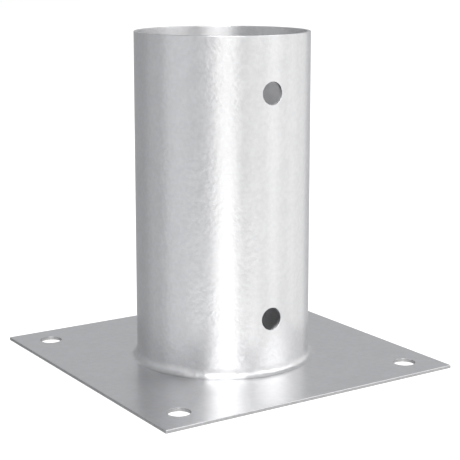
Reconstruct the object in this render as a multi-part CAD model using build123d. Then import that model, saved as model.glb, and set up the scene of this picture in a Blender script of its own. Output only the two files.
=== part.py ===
from build123d import *

import math
import os

# A ground anchor for a round post: a square steel plate with a bolt hole near each corner, a length of
# round tube that stands on it and takes the post, and one hand-run fillet weld round the foot of the tube.
# The origin is the centre of the plate's underside and +Z points up the tube. The sides of the plate lie
# along X and Y, and the tube's cross holes run along Y. Lengths are in millimetres, angles in degrees.

# Plate
plate_side = 150.0
plate_thickness = 1.5
bolt_hole_diameter = 10.0
bolt_hole_edge_distance = 15.0

# Tube
tube_outer_diameter = 80.0
tube_wall = 1.5
tube_length = 150.0
cross_hole_diameter = 10.0
cross_hole_end_distance = 25.0

# Edges: the plate's outline and the tube's rim are broken, and the drilled holes are deburred
edge_chamfer = 0.3
hole_chamfer = 0.3

# Weld: its mean legs up the tube and out on the plate. The other numbers are shares of a leg. The hollow face
# is a curve pulled towards a point near the corner, and it runs on into the tube and the plate before it is
# trimmed back to their faces.
weld_leg_up = 3.0
weld_leg_out = 3.3
weld_pull = 0.13
weld_run_on = 0.20
weld_sink = 0.05

# A hand-run bead wanders: each wave is (waves in one turn, share of the leg, phase)
weld_waves_up = [(2, 0.05, 40.0), (5, 0.07, 110.0), (11, 0.04, 15.0)]
weld_waves_out = [(3, 0.06, 200.0), (7, 0.09, 70.0), (13, 0.05, 300.0)]
weld_sections = 48

tube_radius = tube_outer_diameter / 2
bore_radius = tube_radius - tube_wall
bolt_spacing = plate_side - 2 * bolt_hole_edge_distance
cross_hole_heights = (
    plate_thickness + cross_hole_end_distance,
    plate_thickness + tube_length - cross_hole_end_distance,
)


def make_base_plate():
    """The square plate: blanked, drilled near the corners, every edge broken."""
    with BuildPart() as plate:
        with BuildSketch():
            Rectangle(plate_side, plate_side)
        extrude(amount=plate_thickness)
        chamfer(plate.edges(), edge_chamfer)
        with BuildSketch():
            with GridLocations(bolt_spacing, bolt_spacing, 2, 2):
                Circle(bolt_hole_diameter / 2)
        extrude(amount=plate_thickness, mode=Mode.SUBTRACT)
        hole_walls = plate.faces(Select.LAST).filter_by(GeomType.CYLINDER)
        chamfer(hole_walls.edges().filter_by(GeomType.CIRCLE), hole_chamfer)
    return plate.part


def make_post_sleeve():
    """The tube: sawn square, drilled through both walls, its rim and its holes deburred."""
    with BuildPart() as sleeve:
        with BuildSketch(Plane.XY.offset(plate_thickness)):
            Circle(tube_radius)
            Circle(bore_radius, mode=Mode.SUBTRACT)
        extrude(amount=tube_length)
        chamfer(sleeve.faces().sort_by(Axis.Z)[-1].edges(), edge_chamfer)
        with BuildSketch(Plane.XZ):
            with Locations(*[(0, height) for height in cross_hole_heights]):
                Circle(cross_hole_diameter / 2)
        extrude(amount=tube_radius, both=True, mode=Mode.SUBTRACT)
        # The drilled edges wrap round the tube, so they are the only ones neither straight nor circular
        straight_or_circular = (GeomType.LINE, GeomType.CIRCLE)
        hole_edges = [edge for edge in sleeve.edges() if edge.geom_type not in straight_or_circular]
        chamfer(hole_edges, hole_chamfer)
    return sleeve.part


def unevenness(waves, angle):
    """How much longer or shorter than its mean a leg is at an angle round the tube, as a factor."""
    return 1 + sum(share * math.sin(math.radians(count * angle + phase)) for count, share, phase in waves)


def weld_section(angle):
    """One section of the bead: a hollow curve from the tube to the plate, closed inside the corner."""
    up = weld_leg_up * unevenness(weld_waves_up, angle)
    out = weld_leg_out * unevenness(weld_waves_out, angle)

    def at(share_out, share_up):
        return (tube_radius + share_out * out, plate_thickness + share_up * up)

    top = at(-weld_sink, 1 + weld_run_on)
    toe = at(1 + weld_run_on, -weld_sink)
    corner = at(-weld_sink, -weld_sink)
    outline = Wire([
        Edge.make_bezier(top, at(weld_pull, weld_pull), toe),
        Edge.make_line(toe, corner),
        Edge.make_line(corner, top),
    ])
    outward = (math.cos(math.radians(angle)), math.sin(math.radians(angle)), 0)
    plane = Plane(origin=(0, 0, 0), x_dir=outward, z_dir=(outward[1], -outward[0], 0))
    return plane.from_local_coords(outline)


def make_fillet_weld():
    """The bead: uneven sections lofted round the tube, trimmed to the tube's wall and the plate's top."""
    sections = [weld_section(360 * index / weld_sections) for index in range(weld_sections)]
    ring = Solid.make_loft(sections + sections[:1])
    tube_core = Solid.make_cylinder(tube_radius, tube_length)
    plate_block = Solid.make_box(plate_side, plate_side, plate_thickness).moved(
        Location((-plate_side / 2, -plate_side / 2, 0))
    )
    return ring - tube_core - plate_block


nodes = {
    "base_plate": make_base_plate,
    "post_sleeve": make_post_sleeve,
    "fillet_weld": make_fillet_weld,
}

os.makedirs("parts", exist_ok=True)
for name, make in nodes.items():
    solid = make()
    export_step(solid, f"parts/{name}.step")
    size = solid.bounding_box().size
    print(f"{name}: {size.X:.2f} x {size.Y:.2f} x {size.Z:.2f} mm, {solid.volume:.1f} mm3")
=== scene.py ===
# %% [markdown]
# # A galvanised ground anchor
# The object is a steel foot for a round garden post. A square plate is screwed to the ground, a length of
# round tube stands on it and takes the post, and a fillet weld joins the two. After welding, the whole part
# was dipped in molten zinc, so every surface has the same soft grey metal skin.
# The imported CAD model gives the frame: the same origin, the same axes and the same sizes, in metres.

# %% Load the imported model
import math

import bmesh
import bpy
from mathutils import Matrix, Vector


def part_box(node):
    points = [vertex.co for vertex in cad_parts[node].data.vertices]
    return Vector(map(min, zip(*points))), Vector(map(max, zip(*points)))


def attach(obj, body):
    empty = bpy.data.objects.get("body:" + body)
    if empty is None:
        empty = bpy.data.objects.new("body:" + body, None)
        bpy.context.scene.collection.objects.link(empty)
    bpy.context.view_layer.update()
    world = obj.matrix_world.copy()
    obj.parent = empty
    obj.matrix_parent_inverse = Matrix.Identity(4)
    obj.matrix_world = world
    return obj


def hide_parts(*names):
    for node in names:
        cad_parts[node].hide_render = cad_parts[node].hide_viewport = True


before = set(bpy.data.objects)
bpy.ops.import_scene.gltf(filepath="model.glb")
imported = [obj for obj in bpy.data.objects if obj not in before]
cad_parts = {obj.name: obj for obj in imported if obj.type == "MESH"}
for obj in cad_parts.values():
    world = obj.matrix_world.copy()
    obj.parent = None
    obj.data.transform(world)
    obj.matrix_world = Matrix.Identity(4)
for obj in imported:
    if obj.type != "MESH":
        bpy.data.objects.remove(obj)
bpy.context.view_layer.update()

print("nodes:", ", ".join(sorted(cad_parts)))

# %% [markdown]
# ## Sizes
# These are the CAD model's own sizes. Blender works in metres, so one small function turns millimetres
# into metres, and every size below is written in the millimetres of a drawing.

# %% Sizes
def mm(length):
    """A length in millimetres, as metres."""
    return length / 1000


PLATE_SIDE = mm(150)
PLATE_THICKNESS = mm(1.5)
BOLT_HOLE_RADIUS = mm(5)
BOLT_HOLE_REACH = mm(60)

TUBE_RADIUS = mm(40)
TUBE_WALL = mm(1.5)
TUBE_LENGTH = mm(150)
TUBE_TOP = PLATE_THICKNESS + TUBE_LENGTH
CROSS_HOLE_RADIUS = mm(5)
CROSS_HOLE_HEIGHTS = (mm(26.5), mm(126.5))

# The outlines are well rounded under their zinc, and the drilled edges only a little
OUTLINE_ROUND = mm(0.3)
DEBURR_ROUND = mm(0.1)
ROUND_STEPS = 4

# Two places nearer than a hair count as one
HAIR = mm(0.01)

low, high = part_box("base_plate")
print("plate is", [round((high[i] - low[i]) * 1000, 2) for i in range(3)], "mm in the CAD model")

# %% [markdown]
# ## The camera
# The photograph looks at the part from a little above and from its left. The long lens keeps the tube's
# sides almost parallel. The camera is made before the pieces, because it only depends on the sizes.
# A small shift of the frame helps to keep the tube's sides upright in the picture. Its distance and height
# are in metres and its angles in degrees. Azimuths, here and below, start at -Y and grow towards +X.

# %% Make the camera
def aimed_camera(azimuth, distance, height, yaw, pitch, lens, shift):
    """A camera at an azimuth round the part, aimed at it, then turned aside by yaw and down by pitch."""
    around = math.radians(azimuth)
    place = (distance * math.sin(around), -distance * math.cos(around), height)
    turn = (math.radians(90 - pitch), 0, math.radians(azimuth + yaw))
    bpy.ops.object.camera_add(location=place, rotation=turn)
    camera = bpy.context.object
    camera.name = "photo_camera"
    camera.data.lens = lens
    camera.data.sensor_width = 36
    camera.data.shift_y = shift
    return camera


scene = bpy.context.scene
scene.view_settings.view_transform = "Standard"
scene.camera = aimed_camera(
    azimuth=-32.90, distance=0.5869, height=0.1857, yaw=-0.34, pitch=9.70, lens=101.37, shift=-0.12
)
print("camera lens:", scene.camera.data.lens, "mm")

# %% [markdown]
# ## Helpers for modelling
# An operator acts on all that is selected. So every step starts from nothing selected, and faces or edges
# are then picked in code by a rule about where they are.

# %% Helpers for modelling
def only(piece):
    """Leave one object selected and active, in object mode."""
    if bpy.context.object and bpy.context.object.mode != "OBJECT":
        bpy.ops.object.mode_set(mode="OBJECT")
    bpy.ops.object.select_all(action="DESELECT")
    piece.select_set(True)
    bpy.context.view_layer.objects.active = piece


def pick(piece, kind, rule):
    """Open a piece in edit mode with just the vertices, edges or faces selected that obey a rule."""
    only(piece)
    bpy.ops.object.mode_set(mode="EDIT")
    bpy.ops.mesh.select_mode(type={"verts": "VERT", "edges": "EDGE", "faces": "FACE"}[kind])
    bpy.ops.mesh.select_all(action="DESELECT")
    mesh = bmesh.from_edit_mesh(piece.data)
    chosen = [element for element in getattr(mesh, kind) if rule(element)]
    for element in chosen:
        element.select_set(True)
    mesh.select_flush_mode()
    bmesh.update_edit_mesh(piece.data)


def apply_modifier(piece, kind, **settings):
    """Add one modifier with its settings, and apply it at once."""
    only(piece)
    modifier = piece.modifiers.new(kind.title(), kind)
    for name, value in settings.items():
        setattr(modifier, name, value)
    bpy.ops.object.modifier_apply(modifier=modifier.name)


def apply_place(piece):
    """Put a piece's place, turn and scale into its mesh, so that the object itself sits at the origin."""
    only(piece)
    bpy.ops.object.transform_apply(location=True, rotation=True, scale=True)


def triangles(piece):
    """How many triangles a piece's faces come to."""
    return sum(len(face.vertices) - 2 for face in piece.data.polygons)


print("helpers ready")

# %% [markdown]
# ## The drill
# The part has two kinds of drilled hole, in the plate and in the tube, and both are deburred: the edge is
# taken off at each face. A bevel after a Boolean could do that, but it trips over the Boolean's uneven
# edges. So the cutter carries the deburring: it is a cylinder whose two ends are extruded and widened along
# a quarter circle, and a single Boolean drills the hole and rounds its two edges.

# %% Make a drill
DRILL_SIDES = 96
# A face counts as an end of the drill when its normal's share of Z is more than this
END_FACING = 0.9


def make_drill(radius, thickness, edge):
    """A cutter that stands on Z, centred on the origin: a hole with its edge rounded off at both faces."""
    half = thickness / 2
    bpy.ops.mesh.primitive_cylinder_add(vertices=DRILL_SIDES, radius=radius, depth=2 * (half - edge))
    drill = bpy.context.object
    for side in (1, -1):
        # At the second end this also picks the last ring of the first end's flare, and draws it along. So a
        # slit 0.04 mm wide and 0.2 mm deep runs under the hole's edge at one face. It is too fine to show.
        pick(drill, "faces", lambda face: face.normal.z * side > END_FACING)
        last_angle = 0
        last_width = radius
        for step in range(1, ROUND_STEPS + 1):
            angle = math.radians(90 * step / ROUND_STEPS)
            width = radius + edge * (1 - math.cos(angle))
            rise = edge * (math.sin(angle) - math.sin(last_angle))
            bpy.ops.mesh.extrude_region_move(TRANSFORM_OT_translate={"value": (0, 0, side * rise)})
            bpy.ops.transform.resize(value=(width / last_width, width / last_width, 1))
            last_angle = angle
            last_width = width
        # The last part stands clear of the metal, so that the cut goes all the way out
        bpy.ops.mesh.extrude_region_move(TRANSFORM_OT_translate={"value": (0, 0, side * edge)})
    bpy.ops.object.mode_set(mode="OBJECT")
    return drill


def drill_holes(piece, drill, places, turn=(0, 0, 0)):
    """Cut the drill out of a piece at each place, then throw the drill away."""
    for place in places:
        drill.location = place
        drill.rotation_euler = turn
        apply_modifier(piece, "BOOLEAN", operation="DIFFERENCE", solver="EXACT", object=drill)
    bpy.data.objects.remove(drill)


print("drill ready")

# %% [markdown]
# ## The base plate
# On the real object this is a blank sheared from 1.5 mm sheet, drilled near each corner. It could be drawn
# as a flat outline and thickened, but then the corners would need their rounding by hand. So a cube is set
# to the blank's size, all its edges are rounded by one bevel, and the four holes are drilled. The rounding
# is what catches the light as a thin bright line along the front.

# %% Blank the plate and round its edges
bpy.ops.object.select_all(action="DESELECT")
bpy.ops.mesh.primitive_cube_add(size=1, location=(0, 0, PLATE_THICKNESS / 2))
plate = bpy.context.object
plate.name = "plate_sheet"
plate.scale = (PLATE_SIDE, PLATE_SIDE, PLATE_THICKNESS)
apply_place(plate)
pick(plate, "edges", lambda edge: True)
bpy.ops.mesh.bevel(offset=OUTLINE_ROUND, segments=ROUND_STEPS, affect="EDGES")
bpy.ops.object.mode_set(mode="OBJECT")
print("plate blank:", triangles(plate), "triangles")

# %% Drill the plate
corners = [
    (x * BOLT_HOLE_REACH, y * BOLT_HOLE_REACH, PLATE_THICKNESS / 2) for x in (-1, 1) for y in (-1, 1)
]
drill_holes(plate, make_drill(BOLT_HOLE_RADIUS, PLATE_THICKNESS, DEBURR_ROUND), corners)
print("plate with", len(corners), "holes:", triangles(plate), "triangles")

# %% [markdown]
# ## The tube
# Real tube of this kind starts as a flat strip that is rolled round and seam-welded. It could be spun from
# its section, but holes cut in a round wall leave dents in the smooth shading. So it is modelled in the
# order of the workshop: a flat strip gets its rim rounded and its holes drilled, and is then rolled with a
# Simple Deform bend.

# %% Cut the strip
STRIP_LENGTH = 2 * math.pi * TUBE_RADIUS
QUARTER = STRIP_LENGTH / 4
# Blender makes a hundred cuts at most in one step, so the strip is cut into 64 parts and then each into 4
CUTS_ROUND = (63, 3)
CUTS_UP = 59
# A direction counts as along an axis when its share of that axis is more than this
ALONG = 0.99

bpy.ops.object.select_all(action="DESELECT")
bpy.ops.mesh.primitive_cube_add(size=1, location=(0, TUBE_WALL / 2, PLATE_THICKNESS + TUBE_LENGTH / 2))
tube = bpy.context.object
tube.name = "tube_shell"
tube.scale = (STRIP_LENGTH, TUBE_WALL, TUBE_LENGTH)
apply_place(tube)


def runs_along(edge, axis):
    """Whether an edge runs along one axis of the strip."""
    first, second = (vertex.co for vertex in edge.verts)
    return abs((first - second).normalized()[axis]) > ALONG


pick(tube, "edges", lambda edge: runs_along(edge, 0) and edge.verts[0].co.z > TUBE_TOP - HAIR)
bpy.ops.mesh.bevel(offset=OUTLINE_ROUND, segments=ROUND_STEPS, affect="EDGES")
for cuts in CUTS_ROUND:
    pick(tube, "edges", lambda edge: runs_along(edge, 0))
    bpy.ops.mesh.subdivide(number_cuts=cuts)
pick(tube, "edges", lambda edge: runs_along(edge, 2) and edge.calc_length() > TUBE_LENGTH / 2)
bpy.ops.mesh.subdivide(number_cuts=CUTS_UP)
bpy.ops.object.mode_set(mode="OBJECT")
print("strip:", round(STRIP_LENGTH * 1000, 1), "mm long,", triangles(tube), "triangles")

# %% Drill the strip and roll it
hole_places = [(side * QUARTER, TUBE_WALL / 2, height) for side in (-1, 1) for height in CROSS_HOLE_HEIGHTS]
drill = make_drill(CROSS_HOLE_RADIUS, TUBE_WALL, DEBURR_ROUND)
drill_holes(tube, drill, hole_places, turn=(math.pi / 2, 0, 0))


def closes_an_end(face):
    """Whether a face closes one of the strip's two ends, which meet when it is rolled."""
    return abs(face.normal.x) > ALONG and abs(face.calc_center_median().x) > STRIP_LENGTH / 2 - HAIR


pick(tube, "faces", closes_an_end)
bpy.ops.mesh.delete(type="FACE")
bpy.ops.object.mode_set(mode="OBJECT")
apply_modifier(tube, "SIMPLE_DEFORM", deform_method="BEND", deform_axis="Z", angle=2 * math.pi)

# The bend leaves the tube's axis one radius behind the strip, so the tube is brought back over the origin
tube.location = (0, -TUBE_RADIUS, 0)
apply_place(tube)
# A quarter turn puts the two pairs of holes at the front and the back
tube.rotation_euler = (0, 0, -math.pi / 2)
apply_place(tube)
# The strip's two ends are sewn together
SEAM_GAP = mm(0.002)
pick(tube, "verts", lambda vertex: True)
bpy.ops.mesh.remove_doubles(threshold=SEAM_GAP)
bpy.ops.mesh.normals_make_consistent(inside=False)
bpy.ops.object.mode_set(mode="OBJECT")
print("tube:", [round(side * 1000, 2) for side in tube.dimensions], "mm,", triangles(tube), "triangles")

# %% [markdown]
# ## The weld
# The bead was run by hand round the foot of the tube. Molten zinc then filled its ripples, so what is left
# is a smooth hollow fillet that wanders a little in height and width, and runs out flush on the wall and on
# the plate. A bevel between the two would be too even. So its section is drawn as a hollow curve, closed
# behind, inside the corner, and spun round the tube. Each part of the ring is then drawn up or out by the
# same waves as in the CAD model, with a few finer ones added.

# %% Spin the weld
WELD_LEG_UP = mm(4.1)
WELD_LEG_OUT = mm(3.4)
# How hollow the face is: 1 would be flat, and from 2 on it meets the wall and the plate flush
WELD_POWER = 2.05
# How far the back of the section reaches into the wall and into the plate, so that no gap can show
WELD_SINK = mm(0.15)
WELD_CURVE_POINTS = 20
WELD_TURNS = 512


def hollow_curve(up, out, power, points):
    """Points from the toe on the wall to the toe on the plate, as (distance out, distance up)."""
    shares = [step / (points - 1) for step in range(points)]
    return [(out * share ** power, up * (1 - share) ** power) for share in shares]


def draw_weld_section():
    """The section as a closed loop of edges, standing on the XZ plane at the tube's wall."""
    curve = hollow_curve(WELD_LEG_UP, WELD_LEG_OUT, WELD_POWER, WELD_CURVE_POINTS)
    outline = [(-WELD_SINK, WELD_LEG_UP)] + curve + [(WELD_LEG_OUT, -WELD_SINK), (-WELD_SINK, -WELD_SINK)]
    # A circle gives the closed loop, and each of its points is then moved to its place
    bpy.ops.object.select_all(action="DESELECT")
    bpy.ops.mesh.primitive_circle_add(vertices=len(outline), radius=mm(1), fill_type="NOTHING")
    section = bpy.context.object
    for vertex, (out, up) in zip(section.data.vertices, outline):
        vertex.co = (TUBE_RADIUS + out, 0, PLATE_THICKNESS + up)
    return section


weld = draw_weld_section()
weld.name = "weld_bead"
pick(weld, "verts", lambda vertex: True)
bpy.ops.mesh.spin(steps=WELD_TURNS, angle=2 * math.pi, center=(0, 0, 0), axis=(0, 0, 1))
bpy.ops.mesh.select_all(action="SELECT")
bpy.ops.mesh.normals_make_consistent(inside=False)
bpy.ops.object.mode_set(mode="OBJECT")
print("weld ring:", triangles(weld), "triangles")

# %% Let the bead wander
# Each wave is (waves in one turn, share of the leg, phase in degrees)
WAVES_UP = [(2, 0.05, 40), (5, 0.07, 110), (11, 0.04, 15), (23, 0.035, 250), (41, 0.02, 130)]
WAVES_OUT = [(3, 0.06, 200), (7, 0.09, 70), (13, 0.05, 300), (29, 0.045, 20), (47, 0.03, 190)]


def uneven(waves, angle):
    """How far a leg is from its mean length at an angle round the tube, as a share."""
    return sum(share * math.sin(count * angle + math.radians(phase)) for count, share, phase in waves)


for vertex in weld.data.vertices:
    angle = math.atan2(vertex.co.y, vertex.co.x)
    out = math.hypot(vertex.co.x, vertex.co.y) - TUBE_RADIUS
    up = vertex.co.z - PLATE_THICKNESS
    if out > 0:
        out *= 1 + uneven(WAVES_OUT, angle)
    if up > 0:
        up *= 1 + uneven(WAVES_UP, angle)
    radius = TUBE_RADIUS + out
    vertex.co = (radius * math.cos(angle), radius * math.sin(angle), PLATE_THICKNESS + up)
weld.data.update()
print("weld:", [round(side * 1000, 2) for side in weld.dimensions], "mm")

# %% [markdown]
# ## Shading
# The pieces are smooth where the metal is smooth, and keep a crease only where two faces meet at a real
# edge. Weighted normals let the large faces decide the shading, so that a flat plate stays flat right up
# to its rounded edge.

# %% Smooth the pieces
# Each piece with the angle in degrees from which an edge stays a crease
for piece, crease in ((plate, 35), (tube, 35), (weld, 50)):
    only(piece)
    bpy.ops.object.shade_smooth_by_angle(angle=math.radians(crease))
    apply_modifier(piece, "WEIGHTED_NORMAL", mode="FACE_AREA", weight=50, keep_sharp=True)
    print(piece.name, "has", triangles(piece), "triangles")

# %% [markdown]
# ## Materials
# Hot-dip galvanising leaves pure zinc on the outside. Zinc is a pale grey metal with a faint blue cast. On
# thin tube it sets as a satin skin with a fine cloudy mottle, a millimetre or two across, because each
# patch froze with its own texture. On rolled sheet the skin is more even. Inside the tube the zinc drained
# off slowly and stayed rougher. Each could have a recipe of its own, but one function builds them all, so
# that they stay one metal. Colours are written as sRGB hex values, as a picture editor shows them.

# %% Helpers for materials
def colour(hex_code):
    """An sRGB hex value as the linear colour that Blender works with."""
    channels = [int(hex_code[i:i + 2], 16) / 255 for i in (0, 2, 4)]
    return tuple(c / 12.92 if c <= 0.04045 else ((c + 0.055) / 1.055) ** 2.4 for c in channels) + (1,)


def add_node(tree, kind, settings=None, inputs=None):
    """Add one node, set its own settings, and fill its inputs with plain values or other nodes' outputs."""
    made = tree.nodes.new(kind)
    for name, value in (settings or {}).items():
        setattr(made, name, value)
    for socket, value in (inputs or {}).items():
        if isinstance(value, bpy.types.NodeSocket):
            tree.links.new(value, made.inputs[socket])
        else:
            made.inputs[socket].default_value = value
    return made


def per_metre(size_in_mm):
    """The noise scale whose features are about this many millimetres across."""
    return 1000 / size_in_mm


print("pale zinc, DFDFE0, in linear light:", [round(channel, 3) for channel in colour("DFDFE0")[:3]])

# %% Build a zinc skin
# How much the large clouds count beside the fine mottle, and the noise values of the darkest and palest zinc
CLOUD_SHARE = 0.35
NOISE_LOW = 0.36
NOISE_HIGH = 0.64
# The relief fades here and there, in patches this many millimetres across, to a share of its full strength
CALM_PATCH = 32
CALM_SEED = 5.0
CALM_LOW = 0.38
CALM_HIGH = 0.60
CALM_SHARE = 0.25


def zinc_skin(name, dark, pale, rough, mottle_mm, cloud_mm, relief):
    """Zinc whose colour, roughness and relief follow a fine mottle inside larger clouds."""
    material = bpy.data.materials.new(name)
    material.use_nodes = True
    tree = material.node_tree
    tree.nodes.clear()
    place = add_node(tree, "ShaderNodeTexCoord").outputs["Object"]
    mottle = add_node(
        tree, "ShaderNodeTexNoise",
        inputs={"Vector": place, "Scale": per_metre(mottle_mm), "Detail": 2.0, "Roughness": 0.45},
    ).outputs["Fac"]
    clouds = add_node(
        tree, "ShaderNodeTexNoise",
        inputs={"Vector": place, "Scale": per_metre(cloud_mm), "Detail": 2.0, "Roughness": 0.5},
    ).outputs["Fac"]
    both = add_node(
        tree, "ShaderNodeMix", {"data_type": "FLOAT"}, {0: CLOUD_SHARE, 2: mottle, 3: clouds}
    ).outputs[0]
    patchy = add_node(
        tree, "ShaderNodeMapRange", inputs={"Value": both, "From Min": NOISE_LOW, "From Max": NOISE_HIGH}
    ).outputs[0]
    tint = add_node(
        tree, "ShaderNodeMix", {"data_type": "RGBA"}, {0: patchy, 6: colour(dark), 7: colour(pale)}
    ).outputs[2]
    roughness = add_node(
        tree, "ShaderNodeMapRange", inputs={"Value": patchy, "To Min": rough[0], "To Max": rough[1]}
    ).outputs[0]
    calm = add_node(
        tree, "ShaderNodeTexNoise", {"noise_dimensions": "4D"},
        {"Vector": place, "W": CALM_SEED, "Scale": per_metre(CALM_PATCH), "Detail": 1.0},
    ).outputs["Fac"]
    lively = add_node(
        tree, "ShaderNodeMapRange",
        inputs={"Value": calm, "From Min": CALM_LOW, "From Max": CALM_HIGH, "To Min": CALM_SHARE},
    ).outputs[0]
    bump = add_node(
        tree, "ShaderNodeBump", inputs={"Strength": lively, "Distance": relief, "Height": both}
    ).outputs["Normal"]
    skin = add_node(
        tree, "ShaderNodeBsdfPrincipled",
        inputs={"Metallic": 1.0, "Base Color": tint, "Roughness": roughness, "Normal": bump},
    )
    add_node(tree, "ShaderNodeOutputMaterial", inputs={"Surface": skin.outputs[0]})
    return material


print("one recipe for all the zinc")

# %% Dip the pieces
# In each line: darkest and palest zinc, smoothest and roughest, mottle and clouds in mm, height of relief.
# No roughness goes below 0.275, where the relief would start to sparkle.

# Outside of the tube: satin, with the cloudy mottle that shows along the edges of the long highlights
zinc_outside = zinc_skin("hot_dip_zinc_outside", "E2E2E3", "E9E9EA", (0.277, 0.31), 1.9, 7.0, mm(0.19))
# Inside of the tube: the same zinc, drained slowly and left rougher, so soft that its mottle hardly shows;
# its tone is a little paler than outside, as painted light that brightens the bore
zinc_inside = zinc_skin("hot_dip_zinc_inside", "E6E6E7", "EEEEEF", (0.40, 0.46), 2.4, 8.0, mm(0.05))
# The plate: dipped rolled sheet, so the skin is even and only faintly clouded
zinc_sheet = zinc_skin("hot_dip_zinc_sheet", "DFDFE0", "E5E5E6", (0.277, 0.295), 2.4, 9.0, mm(0.01))
# The plate's edges and the walls of its holes: sheared and drilled, so rough, thinly coated and greyer
zinc_cut = zinc_skin("hot_dip_zinc_cut_edge", "ACACAD", "BDBDBE", (0.40, 0.48), 0.9, 3.0, mm(0.06))
# The weld: zinc that pooled over the bead, so it is nearly as pale as the tube, softer, and rippled
zinc_pool = zinc_skin("hot_dip_zinc_pool", "DFDFE0", "E8E8E9", (0.32, 0.37), 2.4, 7.0, mm(0.25))
print("materials:", ", ".join(material.name for material in bpy.data.materials))

# %% [markdown]
# As the part left the bath, the zinc inside the tube froze in faint level rings. They spread light up and
# down more than sideways, which draws each reflection in the bore out into a streak. Rings too fine to
# model are what a shader's anisotropy stands for, turned so that it follows the tube's axis.

# %% Ring the bore
RING_STRENGTH = 0.8
QUARTER_TURN = 0.25

bore_tree = zinc_inside.node_tree
rings = add_node(bore_tree, "ShaderNodeTangent", {"direction_type": "RADIAL", "axis": "Z"})
bore_skin = bore_tree.nodes["Principled BSDF"]
bore_skin.inputs["Anisotropic"].default_value = RING_STRENGTH
bore_skin.inputs["Anisotropic Rotation"].default_value = QUARTER_TURN
bore_tree.links.new(rings.outputs["Tangent"], bore_skin.inputs["Tangent"])
print("the bore has level rings")

# %% [markdown]
# A soft dark line of painted shade runs along the front of the weld's toe, in the crease where it meets
# the plate, and a faint film of painted shade lies on the plate beside it. They could be painted in a
# picture,
# but two measures are enough: how far a point is from the tube's wall, and how far round it lies. Noise then
# breaks the grey off in places.

# %% Paint shade at the toe of the weld
# The painted shade breaks off in patches, in millimetres across
SHADE_PATCH = 30
SHADE_SEED = 1.0
SHADE_LOW = 0.32
SHADE_HIGH = 0.48


def paint_shade_at_toe(material, grey, reach, azimuth, spread):
    """Mix a grey of painted shade into a skin's colour outside the tube, round an azimuth.

    Out from the wall, reach says where it starts, is full and is gone. To each side of the azimuth, spread
    says up to how many degrees it is full, and from how many it is gone.
    """
    start, full, gone = (TUBE_RADIUS + distance for distance in reach)
    full_side, gone_side = (math.cos(math.radians(angle)) for angle in spread)
    around = math.radians(azimuth)
    shaded_side = (math.sin(around), -math.cos(around), 0.0)
    smooth = {"interpolation_type": "SMOOTHSTEP"}

    tree = material.node_tree
    skin = tree.nodes["Principled BSDF"]
    tint = skin.inputs["Base Color"].links[0].from_socket
    place = add_node(tree, "ShaderNodeTexCoord").outputs["Object"]
    flat = add_node(
        tree, "ShaderNodeVectorMath", {"operation": "MULTIPLY"}, {0: place, 1: (1.0, 1.0, 0.0)}
    ).outputs["Vector"]
    radius = add_node(tree, "ShaderNodeVectorMath", {"operation": "LENGTH"}, {0: flat}).outputs["Value"]
    rise = add_node(
        tree, "ShaderNodeMapRange", smooth, {"Value": radius, "From Min": start, "From Max": full}
    ).outputs[0]
    fall = add_node(
        tree, "ShaderNodeMapRange", smooth,
        {"Value": radius, "From Min": full, "From Max": gone, "To Min": 1.0, "To Max": 0.0},
    ).outputs[0]
    patches = add_node(
        tree, "ShaderNodeTexNoise", {"noise_dimensions": "4D"},
        {"Vector": place, "W": SHADE_SEED, "Scale": per_metre(SHADE_PATCH), "Detail": 1.0},
    ).outputs["Fac"]
    broken = add_node(
        tree, "ShaderNodeMapRange", inputs={"Value": patches, "From Min": SHADE_LOW, "From Max": SHADE_HIGH}
    ).outputs[0]
    # Only the upper side of the plate is greyed
    height = add_node(tree, "ShaderNodeSeparateXYZ", inputs={0: place}).outputs["Z"]
    above = add_node(
        tree, "ShaderNodeMath", {"operation": "GREATER_THAN"}, {0: height, 1: PLATE_THICKNESS / 2}
    ).outputs[0]
    outward = add_node(tree, "ShaderNodeVectorMath", {"operation": "NORMALIZE"}, {0: flat}).outputs["Vector"]
    cosine = add_node(
        tree, "ShaderNodeVectorMath", {"operation": "DOT_PRODUCT"}, {0: outward, 1: shaded_side}
    ).outputs["Value"]
    toward_shaded_side = add_node(
        tree, "ShaderNodeMapRange", smooth, {"Value": cosine, "From Min": gone_side, "From Max": full_side}
    ).outputs[0]
    share = rise
    for factor in (fall, above, broken, toward_shaded_side):
        share = add_node(tree, "ShaderNodeMath", {"operation": "MULTIPLY"}, {0: share, 1: factor}).outputs[0]
    greyed = add_node(
        tree, "ShaderNodeMix", {"data_type": "RGBA"}, {0: share, 6: tint, 7: colour(grey)}
    ).outputs[2]
    tree.links.new(greyed, skin.inputs["Base Color"])


# Painted shade on the weld's toe, and a fainter painted shade on the plate beside it
paint_shade_at_toe(zinc_pool, "C0C0C1", reach=(mm(1.3), mm(3.0), mm(4.6)), azimuth=-36, spread=(52, 79))
paint_shade_at_toe(zinc_sheet, "CECECF", reach=(mm(2.0), mm(3.6), mm(28)), azimuth=-54, spread=(10, 34))
print("painted_shade lies on the weld's toe and beside it")

# %% [markdown]
# Two of the pieces have a second finish: the plate on its sheared outline and in its holes, and the tube on
# its inner wall. The faces could be painted by hand, but there are thousands of them. So each face is asked
# which way it looks or where it lies.

# %% Give each piece its finish
plate.data.materials.append(zinc_sheet)
plate.data.materials.append(zinc_cut)
weld.data.materials.append(zinc_pool)
tube.data.materials.append(zinc_outside)
tube.data.materials.append(zinc_inside)

# A face of the plate stands upright when its normal rises or falls less than this
UPRIGHT = 0.2
# The inner wall, and a little more for the rounded edges of its holes
BORE_REACH = TUBE_RADIUS - TUBE_WALL + mm(0.05)


def is_cut(face):
    """Whether a face of the plate lies on its outline or in a hole."""
    return abs(face.normal.z) < UPRIGHT


def faces_the_bore(face):
    """Whether a face of the tube lies on its inner wall, below the rounded rim."""
    out = math.hypot(face.center.x, face.center.y)
    return out < BORE_REACH and face.center.z < TUBE_TOP - OUTLINE_ROUND


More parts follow.
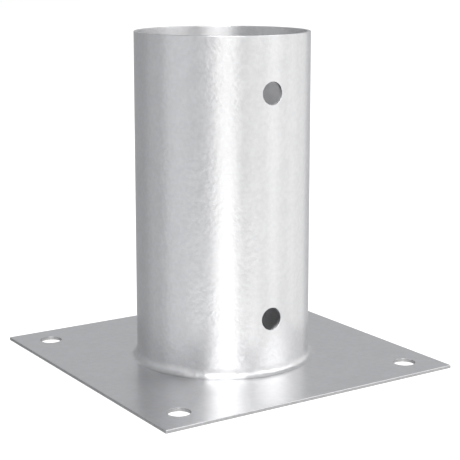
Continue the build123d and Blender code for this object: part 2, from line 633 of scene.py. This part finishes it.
for piece, takes_second in ((plate, is_cut), (tube, faces_the_bore)):
    for face in piece.data.polygons:
        face.material_index = 1 if takes_second(face) else 0
    second = sum(face.material_index for face in piece.data.polygons)
    print(second, "faces of", piece.name, "take its second finish")

# %% [markdown]
# ## Tell the frame what each piece is
# Each dressed piece stands for one node of the CAD model, which is hidden, and moves with the one body.

# %% Ride and replace
for piece, node, finish in (
    (plate, "base_plate", "galvanised_plate"),
    (tube, "post_sleeve", "galvanised_tube"),
    (weld, "fillet_weld", "galvanised_weld"),
):
    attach(piece, "root")
    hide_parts(node)
    print(piece.name, "stands for", node)

# %% [markdown]
# ## The floor
# The photograph has a pure white ground. The floor is pale, and for the camera it is lifted to white by a
# little light of its own. It is left out of reflections, so that the metal shows the surroundings and the
# softboxes right down to its foot, and it casts no shadow, because two of the softboxes stand lower than
# the part. Seen from below it is clear, so that the underside can be looked at.

# %% Lay the floor
FLOOR_SIZE = 8
FLOOR_DROP = mm(0.05)
FLOOR_LIFT = 0.75

bpy.ops.object.select_all(action="DESELECT")
bpy.ops.mesh.primitive_plane_add(size=FLOOR_SIZE, location=(0, 0, -FLOOR_DROP))
floor = bpy.context.object
floor.name = "floor"
apply_place(floor)
floor.visible_glossy = False
floor.visible_shadow = False

floor_paint = bpy.data.materials.new("matt_white_floor")
floor_paint.use_nodes = True
tree = floor_paint.node_tree
tree.nodes.clear()
rays = add_node(tree, "ShaderNodeLightPath").outputs
seen = rays["Is Camera Ray"]
for kind in ("Is Glossy Ray", "Is Transmission Ray"):
    seen = add_node(tree, "ShaderNodeMath", {"operation": "MAXIMUM"}, {0: seen, 1: rays[kind]}).outputs[0]
lift = add_node(tree, "ShaderNodeMath", {"operation": "MULTIPLY"}, {0: seen, 1: FLOOR_LIFT}).outputs[0]
matt = add_node(tree, "ShaderNodeBsdfDiffuse", inputs={"Color": colour("A8A8A8")}).outputs[0]
glow = add_node(tree, "ShaderNodeEmission", inputs={"Strength": lift}).outputs[0]
lit = add_node(tree, "ShaderNodeAddShader", inputs={0: matt, 1: glow}).outputs[0]
clear = add_node(tree, "ShaderNodeBsdfTransparent").outputs[0]
underside = add_node(tree, "ShaderNodeNewGeometry").outputs["Backfacing"]
two_sided = add_node(tree, "ShaderNodeMixShader", inputs={0: underside, 1: lit, 2: clear}).outputs[0]
add_node(tree, "ShaderNodeOutputMaterial", inputs={"Surface": two_sided})
floor.data.materials.append(floor_paint)
print("floor laid,", FLOOR_SIZE, "m square")

# %% [markdown]
# ## The light
# Bare zinc looks like whatever stands round it. The room is white, and a ring of pale and grey cards gives
# each side of the tube its tone, as the photograph has it: darkest behind on the left, palest on the right.
# Softboxes in front draw the long bright bands down the tube. They are plain studio gear, out of the
# camera's sight, and the cards show in reflections only. Their distances are in metres.

# %% White room
room = bpy.data.worlds.new("white_room")
scene.world = room
room.use_nodes = True
room.node_tree.nodes.clear()
air = add_node(room.node_tree, "ShaderNodeBackground", inputs={"Color": (1, 1, 1, 1), "Strength": 1.0})
add_node(room.node_tree, "ShaderNodeOutputWorld", inputs={"Surface": air.outputs[0]})
print("world is plain white")

# %% Softboxes
SOFTBOX_DISTANCE = 1.2
PART_MIDDLE = Vector((0, 0, mm(75)))


def softbox(name, azimuth, elevation, wide, tall, radiance):
    """A lamp that faces the part, wide and tall in degrees from there, its radiance in times white."""
    around, above = math.radians(azimuth), math.radians(elevation)
    level = math.cos(above)
    toward = Vector((math.sin(around) * level, -math.cos(around) * level, math.sin(above)))
    place = PART_MIDDLE + toward * SOFTBOX_DISTANCE
    facing = toward.to_track_quat("Z", "Y").to_euler()
    bpy.ops.object.light_add(type="AREA", location=place, rotation=facing)
    lamp = bpy.context.object
    lamp.name = name
    lamp.data.shape = "RECTANGLE"
    lamp.data.size = 2 * SOFTBOX_DISTANCE * math.tan(math.radians(wide / 2))
    lamp.data.size_y = 2 * SOFTBOX_DISTANCE * math.tan(math.radians(tall / 2))
    lamp.data.energy = radiance * math.pi * lamp.data.size * lamp.data.size_y
    lamp.visible_camera = False


# The main bank, one box above the other, draws the broad band down the tube's middle. Its upper boxes
# light the hollow of the weld, and its lower ones widen the band at the foot of the tube.
softbox("main_high", azimuth=-29, elevation=48, wide=33, tall=30, radiance=3.5)
softbox("main_top", azimuth=-26, elevation=76, wide=22, tall=24, radiance=2.3)
softbox("main_mid", azimuth=-26, elevation=25, wide=40, tall=20, radiance=1.45)
softbox("main_strip", azimuth=-28, elevation=5, wide=24, tall=60, radiance=0.45)
softbox("main_low", azimuth=-28, elevation=-22, wide=32, tall=26, radiance=0.3)
softbox("wide_low", azimuth=-30, elevation=-29, wide=84, tall=18, radiance=0.45)
# The second bank, weaker, draws the narrow band through the cross holes
softbox("second_high", azimuth=41, elevation=46, wide=40, tall=26, radiance=0.8)
softbox("second_mid", azimuth=38, elevation=25, wide=40, tall=20, radiance=1.2)
softbox("second_strip", azimuth=36, elevation=5, wide=14, tall=60, radiance=0.26)
# One thin strip draws the faint third band, further right
softbox("third_strip", azimuth=68, elevation=5, wide=9, tall=60, radiance=0.18)

# %% Cards
CARD_RADIUS = 1.6
CARD_BOTTOM = -0.9
CARD_TOP = 1.3
CARD_SIDES = 72
CEILING_SIDES = 64
CEILING_GAP = mm(10)


def hang(card, name, shade):
    """Name a card, give it self-lit paper of one shade, and let only reflections see it."""
    card.name = name
    paper = bpy.data.materials.new(name + "_paper")
    paper.use_nodes = True
    paper.node_tree.nodes.clear()
    glow = add_node(paper.node_tree, "ShaderNodeEmission", inputs={"Color": colour(shade), "Strength": 1.0})
    add_node(paper.node_tree, "ShaderNodeOutputMaterial", inputs={"Surface": glow.outputs[0]})
    card.data.materials.append(paper)
    card.visible_camera = False
    card.visible_diffuse = False
    card.visible_shadow = False


def curved_card(name, shade, first, last):
    """A card that stands round the part from one azimuth to another."""
    bpy.ops.object.select_all(action="DESELECT")
    bpy.ops.mesh.primitive_cylinder_add(
        vertices=CARD_SIDES, radius=CARD_RADIUS, depth=CARD_TOP - CARD_BOTTOM, end_fill_type="NOTHING",
        location=(0, 0, (CARD_TOP + CARD_BOTTOM) / 2),
    )
    card = bpy.context.object
    apply_place(card)

    def outside(face):
        middle = face.calc_center_median()
        azimuth = math.degrees(math.atan2(middle.x, -middle.y)) % 360
        return not first < azimuth < last

    pick(card, "faces", outside)
    bpy.ops.mesh.delete(type="FACE")
    bpy.ops.mesh.select_all(action="SELECT")
    bpy.ops.mesh.flip_normals()
    bpy.ops.object.mode_set(mode="OBJECT")
    hang(card, name, shade)


# The ring of cards, from the back round by the left to the front, and on by the right to the back again
curved_card("card_back", "BFC0C2", 130, 165)
curved_card("card_dark", "A3A4A6", 165, 215)
curved_card("card_left", "B8B9BB", 215, 250)
curved_card("card_side", "D9DADC", 250, 285)
curved_card("card_gap", "C8C9CB", 285, 308)
curved_card("card_front", "DDDDDD", 308, 360)
curved_card("card_right", "F5F5F5", 0, 105)
curved_card("card_edge", "BFC0C2", 105, 130)

# A flat card closes the ring from above
bpy.ops.object.select_all(action="DESELECT")
bpy.ops.mesh.primitive_circle_add(
    vertices=CEILING_SIDES, radius=CARD_RADIUS, fill_type="NGON", location=(0, 0, CARD_TOP + CEILING_GAP)
)
roof = bpy.context.object
apply_place(roof)
hang(roof, "card_ceiling", "A9AAAC")
